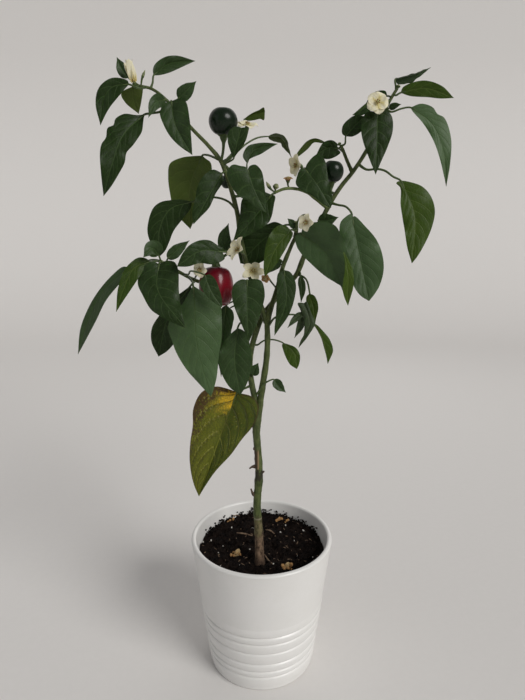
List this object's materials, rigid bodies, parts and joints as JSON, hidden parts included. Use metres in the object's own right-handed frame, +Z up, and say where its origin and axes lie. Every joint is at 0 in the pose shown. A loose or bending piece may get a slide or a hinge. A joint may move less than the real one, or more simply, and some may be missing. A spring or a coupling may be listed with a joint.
{
  "type": "potted chilli pepper plant",
  "caption": "Chilli pepper plant with a forked stem, drooping leaves, cream blooms and ripening fruits, in a tapered white pot with a ribbed lower band.",
  "frame": {"origin": "centre of the pot's flat underside, on the surface that it stands on", "axes": "+Z up along the pot, -Y towards the viewer of the picture, +X to the right"},
  "size_m": [0.3425, 0.1394, 0.5727],
  "materials": {
    "pot_glaze": "satin white glaze",
    "soil": "damp potting soil with crumbs",
    "stem_green": "green stem with brown bark low down",
    "leaf_dark": "satin dark green leaf",
    "leaf_pale": "matt pale underside of a leaf",
    "leaf_bright": "satin bright green leaf",
    "leaf_yellow": "leaf that is turning yellow, with dark specks",
    "petal_cream": "soft cream petals",
    "petal_dried": "dry brown petals",
    "fruit_red": "glossy crimson skin",
    "fruit_dark": "glossy green-black skin"
  },
  "bodies": {
    "root": {"bloom_front": "petal_cream", "bloom_left_centre": "petal_cream", "bloom_left_tip": "petal_cream", "bloom_right_centre": "petal_cream", "bloom_right_tip": "petal_cream", "bloom_small_left": "petal_cream", "bloom_upper_centre": "petal_cream", "bloom_upper_left": "petal_cream", "fallen_bloom_left": "petal_dried", "fallen_bloom_right": "petal_dried", "fruit_dark_hidden": "fruit_dark", "fruit_dark_left": "fruit_dark", "fruit_dark_right": "fruit_dark", "fruit_red": "fruit_red", "leaf_before_red_fruit": "leaf_dark", "leaf_by_dark_fruit": "leaf_dark", "leaf_centre": "leaf_dark", "leaf_dark_middle": "leaf_dark", "leaf_heart_right": "leaf_dark", "leaf_heart_upper": "leaf_dark", "leaf_inner_right": "leaf_dark", "leaf_largest": "leaf_dark", "leaf_left_behind": "leaf_dark", "leaf_left_bright": "leaf_bright", "leaf_left_broad": "leaf_dark", "leaf_left_high_front": "leaf_dark", "leaf_left_high_wavy": "leaf_dark", "leaf_left_inner": "leaf_dark", "leaf_left_long": "leaf_dark", "leaf_left_pale": "leaf_pale", "leaf_left_round": "leaf_dark", "leaf_left_tip_outer": "leaf_dark", "leaf_left_tip_under": "leaf_pale", "leaf_left_tip_upper": "leaf_dark", "leaf_low_centre": "leaf_dark", "leaf_low_right": "leaf_dark", "leaf_middle_bright": "leaf_bright", "leaf_over_red_fruit": "leaf_dark", "leaf_right_drooping": "leaf_dark", "leaf_right_front": "leaf_dark", "leaf_right_low": "leaf_dark", "leaf_right_outer": "leaf_bright", "leaf_right_shoot": "leaf_dark", "leaf_right_stub": "leaf_dark", "leaf_right_tip_behind": "leaf_dark", "leaf_right_tip_front": "leaf_dark", "leaf_right_tip_long": "leaf_dark", "leaf_right_tip_upper": "leaf_bright", "leaf_shaded_middle": "leaf_dark", "leaf_tuft_wilted": "leaf_pale", "leaf_upper_middle": "leaf_dark", "leaf_yellow": "leaf_yellow", "pot": "pot_glaze", "soil": "soil", "stem": "stem_green", "withered_bloom_middle": "petal_dried", "withered_bloom_upper": "petal_dried"}
  },
  "joints": []
}
